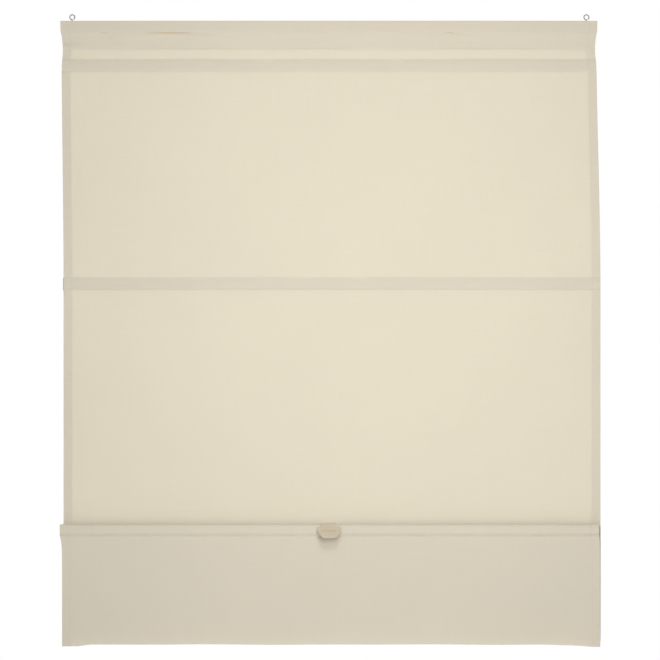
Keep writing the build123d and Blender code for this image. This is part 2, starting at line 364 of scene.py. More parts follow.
class Shader:
    """The making of a new material's or world's nodes."""

    def __init__(self, owner):
        owner.use_nodes = True
        self.owner = owner
        self.tree = owner.node_tree
        self.tree.nodes.clear()

    def node(self, kind, settings, inputs):
        """A node of that kind, with its settings set first and then its sockets' values or links."""
        node = self.tree.nodes.new(kind)
        for name, value in settings.items():
            setattr(node, name, value)
        for name, value in inputs.items():
            if isinstance(value, Socket):
                self.tree.links.new(value.socket, node.inputs[name])
            else:
                node.inputs[name].default_value = value
        return Outputs(self, node)

    def place(self):
        """The object's own coordinates, in metres."""
        return self.node("ShaderNodeTexCoord", {}, {})["Object"]

    def split(self, vector):
        """A vector's parts, by their axis."""
        return self.node("ShaderNodeSeparateXYZ", {}, {"Vector": vector})

    def noise(self, source, scale, detail=2.0):
        """Noise from 0 to 1 over a coordinate that is stretched by a scale along each axis."""
        mapped = self.node("ShaderNodeMapping", {}, {"Vector": source, "Scale": scale})["Vector"]
        inputs = {"Vector": mapped, "Scale": 1.0, "Detail": detail}
        return self.node("ShaderNodeTexNoise", {}, inputs)["Fac"]

    def blend(self, factor, first, second):
        """One colour turning to another as the factor goes from 0 to 1. The Mix node's colours are its
        inputs 6 and 7 and its output 2."""
        return self.node("ShaderNodeMix", {"data_type": "RGBA"}, {0: factor, 6: first, 7: second})[2]

    def bump(self, height, strength, distance):
        """A normal from a height that varies over the surface."""
        inputs = {"Height": height, "Strength": strength, "Distance": distance}
        return self.node("ShaderNodeBump", {}, inputs)["Normal"]

    def principled(self, inputs):
        """The main surface shader, with its sockets' values or links."""
        return self.node("ShaderNodeBsdfPrincipled", {}, inputs)["BSDF"]

    def letting_through(self, surface, share, colour):
        """A surface with a share of the light let through to its far side, in a colour."""
        light = self.node("ShaderNodeBsdfTranslucent", {}, {"Color": colour})["BSDF"]
        return self.node("ShaderNodeMixShader", {}, {0: share, 1: surface, 2: light})["Shader"]

    def finish(self, surface):
        """Ends the nodes in the material's output, and gives the material."""
        self.node("ShaderNodeOutputMaterial", {}, {"Surface": surface})
        return self.owner


def shader_for(name):
    """The nodes of a new material."""
    return Shader(bpy.data.materials.new(name))


def shaded(colour, share=1.0):
    """An opaque colour with each part multiplied by a share."""
    return (*(min(1.0, part * share) for part in colour), 1.0)


def woven(name, colour, through, hem_line):
    """Plain weave in the cloth's own coordinates, across and along it in metres: threads are the product
    of two sines, and slubs are noise drawn out along each thread direction. A dashed line of side-hem
    stitches runs down each edge at the distance hem_line from the middle, unless that is 0. The share
    through of the light passes to the far side."""
    thread_pitch = 0.8 * MM
    stitch_pitch = 1.5 * MM
    line_half = 0.3 * MM
    shader = shader_for(name)
    place = shader.node("ShaderNodeUVMap", {"uv_map": "weave"}, {})["UV"]
    parts = shader.split(place)
    across, along = parts["X"], parts["Y"]
    turn = math.pi / thread_pitch
    threads = (across * turn).sine() * (along * turn).sine()
    weft = shader.noise(place, (9.0, 1100.0, 1.0))
    warp = shader.noise(place, (1100.0, 7.0, 1.0))
    cloud = shader.noise(place, (5.0, 4.0, 1.0), 3.0)
    tone = 0.08 * threads + 0.75 * weft + 0.55 * warp + 0.5 * cloud - 0.4
    base = shader.blend(tone, shaded(colour, 0.945), shaded(colour, 1.04))
    height = 0.5 * threads + 0.8 * weft + 0.6 * warp
    if hem_line:
        line = (across.absolute() - hem_line).absolute().below(line_half)
        dash = (along * (math.pi / stitch_pitch)).sine().below(0.55)
        stitch = line * dash
        base = shader.blend(stitch, base, shaded(colour, 0.86))
        height = height - 1.2 * line + 1.6 * stitch
    surface = shader.principled({
        "Base Color": base,
        "Roughness": 0.86 - 0.1 * weft,
        "Normal": shader.bump(height, 0.25, 0.12 * MM),
        "Sheen Weight": 0.12,
        "Sheen Roughness": 0.45,
        "Specular IOR Level": 0.2,
    })
    return shader.finish(shader.letting_through(surface, through, shaded(colour, 1.02)))


def thread_finish(colour):
    """Twisted sewing thread: fine slanted ribs from a sine of place, on a slightly mottled colour."""
    twist_pitch = 0.5 * MM
    shader = shader_for("sewing_thread")
    place = shader.place()
    parts = shader.split(place)
    twist = ((parts["X"] + parts["Z"]) * (2 * math.pi / twist_pitch)).sine()
    mottle = shader.noise(place, (90.0, 90.0, 90.0))
    tone = 0.25 * twist + 0.75 * mottle
    return shader.finish(shader.principled({
        "Base Color": shader.blend(tone, shaded(colour, 0.9), shaded(colour, 1.08)),
        "Roughness": 0.7 + 0.1 * mottle,
        "Normal": shader.bump(twist, 0.3, 0.05 * MM),
    }))


def timber_finish(colour):
    """Planed softwood with its grain along X: growth rings are a sine of a slanted height plus noise
    drawn out along the grain."""
    ring_pitch = 3.2 * MM
    ring_wander = 9 * MM
    shader = shader_for("planed_timber")
    place = shader.place()
    parts = shader.split(place)
    wander = shader.noise(place, (3.0, 60.0, 60.0), 3.0)
    height = parts["Z"] + parts["Y"] * 0.4 + wander * ring_wander
    rings = (height * (2 * math.pi / ring_pitch)).sine()
    fibre = shader.noise(place, (14.0, 1500.0, 1500.0))
    tone = 0.35 + 0.3 * rings + 0.35 * fibre
    return shader.finish(shader.principled({
        "Base Color": shader.blend(tone, shaded(colour, 0.78), shaded(colour, 1.12)),
        "Roughness": 0.55 + 0.2 * fibre,
        "Normal": shader.bump(fibre, 0.3, 0.15 * MM),
    }))


def metal_finish(name, colour, roughness, grain):
    """Metal with drawing lines along one axis: noise stretched by the grain's three scales sets the tone,
    the roughness and a shallow bump."""
    shader = shader_for(name)
    place = shader.place()
    lines = shader.noise(place, grain, 3.0)
    cloud = shader.noise(place, (40.0, 40.0, 40.0))
    tone = 0.6 * lines + 0.4 * cloud
    return shader.finish(shader.principled({
        "Base Color": shader.blend(tone, shaded(colour, 0.84), shaded(colour, 1.08)),
        "Metallic": 1.0,
        "Roughness": roughness - 0.06 + 0.14 * lines,
        "Normal": shader.bump(lines, 0.15, 0.05 * MM),
    }))


def plastic_finish(name, colour, roughness, through):
    """Moulded plastic: a fine spark texture in the bump, slow flow marks in the tone, and a share of the
    light let through."""
    shader = shader_for(name)
    place = shader.place()
    spark = shader.noise(place, (2200.0, 2200.0, 2200.0))
    flow = shader.noise(place, (60.0, 60.0, 110.0), 3.0)
    surface = shader.principled({
        "Base Color": shader.blend(flow, shaded(colour, 0.94), shaded(colour, 1.06)),
        "Roughness": roughness - 0.05 + 0.12 * flow,
        "Normal": shader.bump(spark, 0.12, 0.05 * MM),
        "Coat Weight": 0.1,
        "Coat Roughness": 0.3,
    })
    return shader.finish(shader.letting_through(surface, through, shaded(colour)))


# ---------------------------------------------------------------- the cloth's shape


def ease_in(value):
    """Smoothstep: 3 t squared less 2 t cubed, with t held between 0 and 1."""
    t = np.clip(value, 0.0, 1.0)
    return t * t * (3.0 - 2.0 * t)


def waves(place, lengths, seed):
    """A repeatable irregular wave from about -1 to 1: the mean of one sine for each wavelength, each with
    its own phase from a seeded draw."""
    phases = np.random.default_rng(SEED + seed).uniform(0, 2 * np.pi, len(lengths))
    angles = 2 * np.pi * np.asarray(place)[..., None] / np.asarray(lengths) + phases
    return np.sin(angles).mean(axis=-1) * math.sqrt(2.0)


def hill(distance, width):
    """A bell: e to the power of minus the square of the distance over the width."""
    return np.exp(-((distance / width) ** 2))


def sizes():
    """The cloth's sizes, as the panel holds them."""
    return bpy.context.scene.blind_cloth


def hanging_edges(z):
    """The left and right edge of the hanging cloth at a height: the half width with its ease, moved right
    by the sway as it goes down, drawn in at the head's hem and spread by the batten above it."""
    s = sizes()
    sway = s.sway * ease_in((CLOTH_TOP - z) / 0.5)
    hem_z = CLOTH_TOP - s.head_hem
    pinch = 2.6 * MM * hill(z - hem_z, 22 * MM)
    flare = 1.8 * MM * ease_in((z - HEAD_BOTTOM + 8 * MM) / (14 * MM))
    half = HALF_W + s.ease - pinch + flare
    return -half + sway, half + 2 * sway - 2.0 * MM


def flap_edges(z):
    """The left and right edge of the flap at a height: out over the ends of the batten and, below its
    seam, easing in at the left and out at the right."""
    settled = 1.0 - np.exp(-np.maximum(0.0, RIB_Z[4] - SEAM_Z - z) / (11 * MM))
    left = -HALF_W - 4.0 * MM + 4.2 * MM * settled
    right = HALF_W + 4.6 * MM + 1.9 * MM * settled
    return left, right


def pocket_relief(x, d, rib):
    """How a pocket moves the cloth back, at a distance d above the batten's middle: a flat-topped bulge,
    e to the power of minus (d over its half height) to an even power, less a bell at the lower seam and a
    faint one at the upper, with small gathers that die out away from the seams. Rib 4's cloth hangs
    looser: its bulge is fuller and rounder, its furrow wider and a little below the seam, and it has no
    upper seam."""
    s = sizes()
    loose = rib == 4
    fullness, power, furrow = (2.2, 4, 3.4 * MM) if loose else (1.0, 8, 1.0 * MM)
    slip = 1.2 * MM if loose else 0.0
    bulge = -s.bulge * fullness * np.exp(-((d / (0.52 * RIB_H)) ** power))
    uneven = 1.0 + 0.6 * waves(x, (0.031, 0.047, 0.083), rib)
    below = hill(d + SEAM_LINE + slip, furrow) * (2.4 if loose else 1.0)
    above = hill(d - SEAM_LINE, 1.4 * MM) * (0.0 if loose else 0.05)
    gathers = waves(x, (0.013, 0.019, 0.027), 10 + rib) * waves(x, (0.11, 0.17), 20 + rib)
    fade_below = np.exp(-np.abs(d + SEAM_LINE) / (6 * MM)) * (d < 0)
    fade_above = np.exp(-np.abs(d - SEAM_LINE) / (5 * MM)) * (d > 0) * (0.0 if loose else 0.2)
    gathered = 0.22 * MM * gathers * (fade_below + fade_above)
    return bulge + s.seam_pull * uneven * (below + above) + gathered


def ripples(x, z, seed):
    """Slow ripples of the hanging cloth: the sum of waves across, waves down, and the product of waves
    across and waves on a slant."""
    across = waves(x, (0.23, 0.37, 0.61), seed)
    down = waves(z, (0.19, 0.31), seed + 1)
    slanted = waves(x * 0.8 + z, (0.27, 0.43), seed + 2)
    return (0.45 * across + 0.35 * down + 0.4 * slanted * across) / 1.2


def hanging_relief(x, z):
    """Place of the hanging cloth's middle, front to back: the pockets of ribs 1 to 3, the last one less
    deep, and ripples that fade towards each rib and towards the head."""
    s = sizes()
    still = np.ones_like(z)
    y = np.zeros_like(z)
    for rib in (1, 2, 3):
        d = z - RIB_Z[rib]
        share = 1.0 if rib < 3 else 0.45
        y = y + share * pocket_relief(x, d, rib)
        still = still * (1.0 - hill(d, 55 * MM))
    still = still * ease_in((CLOTH_TOP - s.head_hem - z) / (60 * MM))
    return y + s.ripple * still * ripples(x, z, 40)


def drape_under(z, depth, width):
    """The cloth's distance from the middle plane below the head batten: the depth times e to the power of
    minus t squared over 1 + t, where t is the drop over a width, which may vary. The drop counts from
    just above the batten's underside."""
    t = np.maximum(0.0, HEAD_BOTTOM + 2.5 * MM - z) / width
    return depth * np.exp(-t * t / (1.0 + t))


def tight_places(x):
    """How much sooner the cloth tucks in under the head batten: bells at a few places across."""
    return 0.7 * hill(x + 0.30, 0.095) + 0.5 * hill(x + 0.425, 0.025) + 0.6 * hill(x - 0.225, 0.05)


def with_columns(x, edges, clear):
    """Places across with the edges added and the places closer to one than clear left out."""
    kept = x[np.abs(x[:, None] - edges).min(axis=1) > clear]
    return np.sort(np.append(kept, edges))


def across_points(gaps=()):
    """Nominal places of the cloth's columns from left to right, with a share from 0 to 1 of how far each
    lies in the hem layer behind, and the unrolled coordinate. A side hem is the cloth turned back on
    itself. The gaps' edges get columns of their own."""
    s = sizes()
    front = np.arange(-HALF_W + EDGE_INSET, HALF_W - EDGE_INSET / 2, s.row_pitch)
    front = np.append(front, HALF_W - EDGE_INSET)
    if gaps:
        front = with_columns(front, np.ravel(gaps), 1.2 * MM)
    hem = np.linspace(HALF_W - s.side_hem, HALF_W - 0.6 * MM, 5)
    roll = np.array([HALF_W - 0.1 * MM, HALF_W, HALF_W, HALF_W - 0.1 * MM])
    lift = np.array([0.95, 0.7, 0.3, 0.05])
    x = np.concatenate([-hem, -roll, front, roll[::-1], hem[::-1]])
    behind = np.concatenate([np.ones(5), lift, np.zeros(len(front)), lift[::-1], np.ones(5)])
    unrolled = np.concatenate(
        [-2 * HALF_W + hem, -np.full(4, HALF_W), front, np.full(4, HALF_W), 2 * HALF_W - hem[::-1]]
    )
    return x, behind, unrolled


def down_rows(top, bottom, fine_at=()):
    """Heights from top to bottom at the plain mesh pitch, and at the fine pitch near each height in
    fine_at. The first and last rows of faces are at least 2 mm deep, so that the cloth's rim doesn't turn
    their shading."""
    z = np.linspace(top, bottom, max(2, int((top - bottom) / sizes().row_pitch)))
    for middle in fine_at:
        z = z[np.abs(z - middle) > FINE_REACH + 0.5 * MM]
    fine = np.arange(-FINE_REACH, FINE_REACH + 0.1 * MM, FINE_PITCH)
    z = np.concatenate([z, *(fine + middle for middle in fine_at)])
    z = z[(z < top - 2 * MM) & (z > bottom + 2 * MM)]
    return np.concatenate([[top], np.sort(z)[::-1], [bottom]])


def stretched(x, edges):
    """Nominal places across moved so that the nominal edges fall on the given left and right edges."""
    left, right = edges
    return left + (x + HALF_W) / (2 * HALF_W) * (right - left)


def smooth_piece(name, points, faces):
    """A new smooth-shaded piece from arrays of points and faces."""
    mesh = bpy.data.meshes.new(name)
    mesh.from_pydata(points.tolist(), [], faces.tolist())
    mesh.polygons.foreach_set("use_smooth", np.ones(len(faces), bool))
    mesh.update()
    piece = bpy.data.objects.new(name, mesh)
    bpy.context.scene.collection.objects.link(piece)
    return piece


def sheet_mesh(name, points, weave, open_cells=None):
    """A sheet from a grid of points, rows going down and columns going right as seen from the front, with
    its weave coordinates. open_cells marks grid cells left out, as for a slit."""
    rows, columns = points.shape[:2]
    index = np.arange(rows * columns).reshape(rows, columns)
    faces = np.stack([index[:-1, :-1], index[1:, :-1], index[1:, 1:], index[:-1, 1:]], -1)
    faces = faces.reshape(-1, 4)
    if open_cells is not None:
        faces = faces[~open_cells.ravel()]
    used, places = np.unique(faces, return_inverse=True)
    piece = smooth_piece(name, points.reshape(-1, 3)[used], places.reshape(faces.shape))
    layer = piece.data.uv_layers.new(name="weave")
    layer.data.foreach_set("uv", weave.reshape(-1, 2)[faces.ravel()].astype(np.float32).ravel())
    return piece


def give_thickness(piece, thickness):
    """Turns the sheet into cloth of an even thickness, half to each side, with its shading led by its
    faces and not by its thin rim."""
    solid = piece.modifiers.new("thickness", "SOLIDIFY")
    solid.thickness = thickness
    solid.offset = 0.0
    even = piece.modifiers.new("shading", "WEIGHTED_NORMAL")
    even.weight = 100
    even.keep_sharp = False


def weave_coordinates(unrolled, run):
    """Across and along the cloth in metres, for a grid of rows by columns."""
    return np.stack(np.broadcast_arrays(unrolled[None, :], run[:, None]), -1)


def path_lengths(y, z):
    """Distance along a path of points from its first one."""
    return np.concatenate([[0.0], np.cumsum(np.hypot(np.diff(y), np.diff(z)))])


def cloth_piece(name, node, points, weave, open_cells=None):
    """A stretch of the cloth with its thickness and weave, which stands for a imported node. All stretches
    share one material, made with the first of them."""
    piece = sheet_mesh(name, points, weave, open_cells)
    give_thickness(piece, CLOTH_T)
    material = bpy.data.materials.get("ecru_cloth")
    if material is None:
        colour = bpy.context.scene.blind_colours.cloth
        material = woven("ecru_cloth", colour, 0.33, HALF_W - sizes().side_hem + SIDE_SEAM)
    piece.data.materials.append(material)
    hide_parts(node)
    return piece


def slit_cells(x, z, gap, band):
    """Grid cells whose middle lies between a gap's two edges across and inside a band of heights."""
    mid_x = (x[:-1] + x[1:]) / 2
    mid_z = (z[:-1] + z[1:]) / 2
    inside_x = (mid_x > gap[0]) & (mid_x < gap[1])
    inside_z = (mid_z > band[0]) & (mid_z < band[1])
    return inside_z[:, None] & inside_x[None, :]


def handle_opening():
    """The opening that the lift handle's arm passes through: its left and right edges, and its lowest and
    highest heights."""
    half = min(high("lift_handle", "x"), ARM_HALF)
    top = high("lift_handle", "z")
    return (-half, half), (top - ARM_DROP, top + ARM_CLEAR)


# ---------------------------------------------------------------- cloth pieces


class BLIND_OT_head_cloth(bpy.types.Operator):
    """Cloth from just above rib 1's pocket, up and over the head batten, with its hem down the back. Its
    section drapes out to the batten, turns a quarter circle at each top edge and drapes back in behind"""

    bl_idname = "blind.head_cloth"
    bl_label = "Head cloth"

    def execute(self, context):
        s = sizes()
        corner = 1.1 * MM
        turn = np.linspace(0, np.pi / 2, 5)[1:-1]
        under = np.arange(HEAD_BOTTOM - 16 * MM, HEAD_BOTTOM + 4 * MM, 1.5 * MM)
        z_front = np.unique(np.append(down_rows(CLOTH_TOP - corner, RIB_Z[1] + JOIN_Z), under))
        z_back = np.linspace(CLOTH_TOP - corner, CLOTH_TOP - s.head_hem, 24)
        y = np.concatenate([
            -drape_under(z_front, WRAP_Y, FRONT_DRAPE),
            -WRAP_Y + corner - corner * np.cos(turn),
            np.linspace(-WRAP_Y + corner, WRAP_Y - corner, 5),
            WRAP_Y - corner + corner * np.sin(turn),
            s.layer_gap + drape_under(z_back, WRAP_Y - s.layer_gap, HEM_DRAPE),
        ])[::-1]
        z = np.concatenate([
            z_front,
            CLOTH_TOP - corner + corner * np.sin(turn),
            np.full(5, CLOTH_TOP),
            CLOTH_TOP - corner + corner * np.cos(turn),
            z_back,
        ])[::-1]
        front = (np.arange(len(z))[::-1] < len(z_front))[:, None]
        x, behind, unrolled = across_points()
        grid_z = np.repeat(z[:, None], len(x), 1)
        grid_x = stretched(x[None, :], hanging_edges(grid_z))
        sag = 0.8 * MM * waves(grid_x, (0.29, 0.53), 60) * ease_in((HEAD_BOTTOM - grid_z) / (12 * MM))
        left_end = hill(grid_x + HALF_W - 14 * MM, 34 * MM)
        pucker = 2.4 * MM * left_end * hill(grid_z - CLOTH_TOP + 47 * MM, 3.4 * MM)
        tight = FRONT_DRAPE * (1 - tight_places(grid_x))
        tucked = drape_under(grid_z, WRAP_Y, FRONT_DRAPE) - drape_under(grid_z, WRAP_Y, tight)
        relief = hanging_relief(grid_x, grid_z) + sag - pucker + tucked
        inward = np.where(front, 1.0, -1.0) * behind[None, :] * s.layer_gap
        grid_y = y[:, None] + np.where(front, relief, 0.0) + inward
        over_batten = ease_in((grid_z - HEAD_BOTTOM) / (20 * MM))
        droop = 0.15 * MM * ease_in((np.abs(grid_x) - 0.3) / 0.2) * over_batten
        run = path_lengths(y, z)
        points = np.stack([grid_x, grid_y, grid_z - droop], -1)
        piece = cloth_piece("head_cloth", "cloth_head", points, weave_coordinates(unrolled, run))
        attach(piece, "head")
        return {"FINISHED"}


def hanging_panel(name, upper, node):
    """One stretch of the hanging cloth, from just above one rib's pocket to just above the next: a flat
    sheet moved front to back by the hanging relief."""
    top = RIB_Z[upper] + JOIN_Z
    bottom = RIB_Z[upper + 1] + JOIN_Z
    z = down_rows(top, bottom, (RIB_Z[upper], RIB_Z[upper + 1]))
    x, behind, unrolled = across_points()
    grid_z = np.repeat(z[:, None], len(x), 1)
    grid_x = stretched(x[None, :], hanging_edges(grid_z))
    grid_y = hanging_relief(grid_x, grid_z) + behind[None, :] * sizes().layer_gap
    points = np.stack([grid_x, grid_y, grid_z], -1)
    piece = cloth_piece(name, node, points, weave_coordinates(unrolled, top - z))
    start = (0, 0, (top + bottom) / 2 - JOIN_Z)
    end = (0, 0, bottom + 2 * MM)
    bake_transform(piece)


class BLIND_OT_panels(bpy.types.Operator):
    """The two hanging panels, from rib 1 to rib 2 and from rib 2 to rib 3"""

    bl_idname = "blind.panels"
    bl_label = "Hanging panels"

    def execute(self, context):
        hanging_panel("upper_panel", 1, "cloth_panel_1_2")
        hanging_panel("lower_panel", 2, "cloth_panel_2_3")
        return {"FINISHED"}


class BLIND_OT_folded_loop(bpy.types.Operator):
    """The folded cloth between ribs 3 and 4: down behind, round the fold, and up to the crest. Its front
    layer's height is a smoothstep of its place front to back"""

    bl_idname = "blind.folded_loop"
    bl_label = "Folded loop"

    def execute(self, context):
        s = sizes()
        fold_y = -1.4 * MM  # where the back layer ends and the fold begins, front to back
        turned_y = fold_y - 0.9 * MM  # where the fold ends and the front layer begins
        fold_rise = 2.0 * MM
        fold_end = FOLD_Z + fold_rise
        top = RIB_Z[3] + JOIN_Z
        gap, (band_low, band_high) = handle_opening()
        band = (band_low, min(band_high, top - ARM_CLEAR))
        z_back = down_rows(top, fold_end, (RIB_Z[3],))
        for edge in (band_low, band_high):
            z_back = z_back[np.abs(z_back - edge) > 0.3 * MM]
        z_back = np.sort(np.append(z_back, band))[::-1]
        angle = np.linspace(0, np.pi, 9)[1:-1]
        share = np.linspace(0, 1, 80)
        y = np.concatenate([
            np.zeros(len(z_back)),
            turned_y / 2 * (1 - np.cos(angle)),
            turned_y + (LOOP_Y - turned_y) * share,
        ])
        z = np.concatenate([
            z_back,
            FOLD_Z + fold_rise * (1 - np.sin(angle)),
            fold_end + (CREST_Z - FOLD_Z - fold_rise) * ease_in(share),
        ])
        front = (np.arange(len(z)) >= len(z_back) + len(angle) // 2)[:, None]
        x, behind, unrolled = across_points((gap,))
        grid_z = np.repeat(z[:, None], len(x), 1)
        grid_x = stretched(x[None, :], hanging_edges(np.minimum(grid_z, RIB_Z[3])))
        relief = hanging_relief(grid_x, grid_z) * ease_in((grid_z - FOLD_Z) / (60 * MM))
        grid_y = y[:, None] + np.where(front, 0.0, np.maximum(relief, fold_y))
        grid_y = grid_y + np.where(front, -1.0, 1.0) * behind[None, :] * s.layer_gap
        near_fold = np.exp(-(grid_z - FOLD_Z) / (50 * MM))
        wave = 0.5 * MM * waves(grid_x, (0.17, 0.29, 0.45), 70)
        run = path_lengths(y, z)
        points = np.stack([grid_x, grid_y, grid_z + near_fold * wave], -1)
        weave = weave_coordinates(unrolled, run)
        open_cells = slit_cells(x, z, gap, band) & ~front[:-1]
        piece = cloth_piece("folded_loop", "cloth_loop_3_4", points, weave, open_cells)
        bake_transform(piece)
        return {"FINISHED"}


def flap_foot(x):
    """Height of the flap's foot: level with slow waves, and both corners drooping by smoothsteps, the
    right one from further in."""
    left = 3.0 * MM * ease_in((-x - 0.445) / 0.03)
    right = 1.8 * MM * ease_in((x - 0.385) / 0.07) + 2.6 * MM * ease_in((x - 0.45) / 0.05)
    return FOOT_Z - left - right + 0.4 * MM * waves(x, (0.21, 0.39), 80)


class BLIND_OT_flap_cloth(bpy.types.Operator):
    """Cloth over the crest above batten 4, a half ellipse in section, then straight down in front of its
    pocket to the flap's cut foot, moved front to back by the pocket's relief and by ripples"""

    bl_idname = "blind.flap_cloth"
    bl_label = "Flap cloth"

    def execute(self, context):
        s = sizes()
        gap, (arm_low, _) = handle_opening()
        rise = CREST_R - 1.5 * MM
        opening = math.asin(min(1.0, max(0.0, (arm_low - CREST_Z) / rise)))
        angle = np.unique(np.append(np.linspace(0, np.pi, 15), [opening, np.pi - opening]))
        z_front = down_rows(CREST_Z, FOOT_Z, (RIB_Z[4],))[1:]
        y = np.concatenate([LOOP_Y - CREST_R + CREST_R * np.cos(angle), np.full(len(z_front), FLAP_Y)])
        z = np.concatenate([CREST_Z + rise * np.sin(angle), z_front])
        x, behind, unrolled = across_points((gap,))
        hem = behind[None, :] * s.layer_gap
        grid_z = np.repeat(z[:, None], len(x), 1)
        grid_x = stretched(x[None, :], flap_edges(grid_z))
        hanging = ease_in((CREST_Z - grid_z) / (3 * MM))
        free = ease_in((RIB_Z[4] - SEAM_Z - grid_z) / (90 * MM))
        relief = pocket_relief(grid_x, grid_z - RIB_Z[4], 4) * hanging
        relief = relief + 0.8 * s.ripple * free * ripples(grid_x, grid_z, 90) + 1.5 * MM * free
        side = np.clip(-(y[:, None] - LOOP_Y + CREST_R) / CREST_R, -1, 1)
        grid_y = y[:, None] + relief + hem * side
        tuck = hem * np.where(grid_z > CREST_Z, -(grid_z - CREST_Z) / CREST_R, 0.0)
        droop_z = CREST_Z - 30 * MM
        droop = (flap_foot(grid_x) - FOOT_Z) * ease_in((droop_z - grid_z) / (droop_z - FOOT_Z))
        run = path_lengths(y, z)
        points = np.stack([grid_x, grid_y, grid_z + tuck + droop], -1)
        weave = weave_coordinates(unrolled, run)
        open_cells = slit_cells(x, z, gap, (arm_low, math.inf))
        piece = cloth_piece("flap_cloth", "cloth_flap", points, weave, open_cells)
        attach(piece, "rib_4")
        return {"FINISHED"}


# ---------------------------------------------------------------- tapes and stitching


def tape_gaps(rib):
    """Gaps across a tape's upper edge where the next rib's hooks pass."""
    middles = [(low(hook, "x") + high(hook, "x")) / 2 for hook in HOOKS_OVER_RIB.get(rib, ())]
    return [(middle - ARM_HALF, middle + ARM_HALF) for middle in middles]


class BLIND_OT_pocket_tapes(bpy.types.Operator):
    """A tape behind each batten: a channel whose depth is a superellipse of its height, with a flange
    sewn to the cloth above and below"""

    bl_idname = "blind.pocket_tapes"
    bl_label = "Pocket tapes"

    def execute(self, context):
        s = sizes()
        material = woven("pocket_tape_weave", context.scene.blind_colours.tape, 0.5, 0.0)
        flange = s.layer_gap + s.seam_pull
        arm = high("rib_hook_2_left", "z") - RIB_Z[2] - ARM_DROP
        channel = CHANNEL_HALF * np.sin(np.linspace(-np.pi / 2, np.pi / 2, 25))
        flat = np.linspace(CHANNEL_HALF + 0.05 * MM, SEAM_Z, 4)
        heights = np.sort(np.concatenate([-flat, channel, flat]))
        plain = np.arange(-HALF_W + EDGE_INSET, HALF_W - EDGE_INSET / 2, 1.6 * s.row_pitch)
        for rib in RIBS:
            node = f"pocket_tape_{rib}"
            face = 0.0 if rib < 4 else FLAP_Y
            deepest = high(node, "y") - CLOTH_T / 2 - face
            reach = SEAM_Z if rib < 4 else high(node, "z") - RIB_Z[4]
            d = np.append(heights[heights <= reach], [reach, arm] if rib < 4 else [reach])
            d = np.unique(d)[::-1]
            depth = (1.0 - np.minimum(1.0, np.abs(d) / CHANNEL_HALF) ** 6) ** (1 / 6)
            if rib == 4:
                depth = np.where(d > 0, 1.0, depth)
            depth = depth[:, None]
            gaps = tape_gaps(rib)
            x = with_columns(plain, np.append(np.ravel(gaps), HALF_W - EDGE_INSET), 1.5 * MM)
            over_hem = ease_in((np.abs(x) - HALF_W + s.side_hem + 4 * MM) / (4 * MM)) * s.layer_gap
            y = face + flange + (deepest - flange) * depth + over_hem[None, :] * (1 - depth)
            y = y + 0.12 * MM * waves(x, (0.07, 0.13, 0.21), 100 + rib)[None, :] * depth
            grid_z = np.repeat((RIB_Z[rib] + d)[:, None], len(x), 1)
            grid_x = np.repeat(x[None, :], len(d), 0)
            open_cells = np.zeros((len(d) - 1, len(x) - 1), bool)
            for gap in gaps:
                open_cells |= slit_cells(x, d, gap, (arm, SEAM_Z + 1 * MM))
            run = path_lengths(y[:, 0], d)
            points = np.stack([grid_x, y, grid_z], -1)[:, ::-1]
            weave = weave_coordinates(x[::-1], run)
            piece = sheet_mesh(f"tape_{rib}", points, weave, open_cells[:, ::-1])
            give_thickness(piece, CLOTH_T * 0.95)
            piece.data.materials.append(material)
            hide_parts(node)
            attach(piece, BODY_OF_RIB[rib])
        return {"FINISHED"}


def stitch_row(place, size, outward):
    """Running stitches as one closed mesh each: two five-sided rings and a point at each end, on a low
    arch. place holds each stitch's middle, size has the length of a stitch and the thickness of its
    thread, and outward is -1 for a row in front."""
    along = np.array([-0.5, -0.3, 0.3, 0.5]) * size.length
    arch = np.array([-0.35, 0.3, 0.3, -0.35]) * size.thread * outward
    turn = np.linspace(0, 2 * np.pi, 6)[:-1]
    one = np.stack([
        np.concatenate([along[:1], np.repeat(along[1:3], 5), along[3:]]),
        np.concatenate([
            arch[:1],
            np.repeat(arch[1:3], 5) + size.thread / 2 * np.tile(np.cos(turn), 2),
            arch[3:],
        ]),
        np.concatenate([[0.0], size.thread / 2 * np.tile(np.sin(turn), 2), [0.0]]),
    ], -1)
    here = np.arange(5)
    step = np.roll(here, -1)
    faces = np.concatenate([
        np.stack([np.zeros(5, int), 1 + step, 1 + here], -1),
        np.stack([np.full(5, 11), 6 + here, 6 + step], -1),
        np.stack([1 + here, 1 + step, 6 + step], -1),
        np.stack([1 + here, 6 + step, 6 + here], -1),
    ])
    points = (place[:, None, :] + one[None, :, :]).reshape(-1, 3)
    shifts = (len(one) * np.arange(len(place)))[:, None, None]
    return points, (faces[None, :, :] + shifts).reshape(-1, 3)


def stitch_piece(name, rows, body):
    """All of one body's stitch rows in one mesh, in thread."""
    counts = np.cumsum([0] + [len(points) for points, _ in rows])
    points = np.concatenate([points for points, _ in rows])
    faces = np.concatenate([faces + start for (_, faces), start in zip(rows, counts)])
    piece = smooth_piece(name, points, faces)
    material = bpy.data.materials.get("sewing_thread")
    piece.data.materials.append(material or thread_finish(bpy.context.scene.blind_colours.thread))
    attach(piece, body)


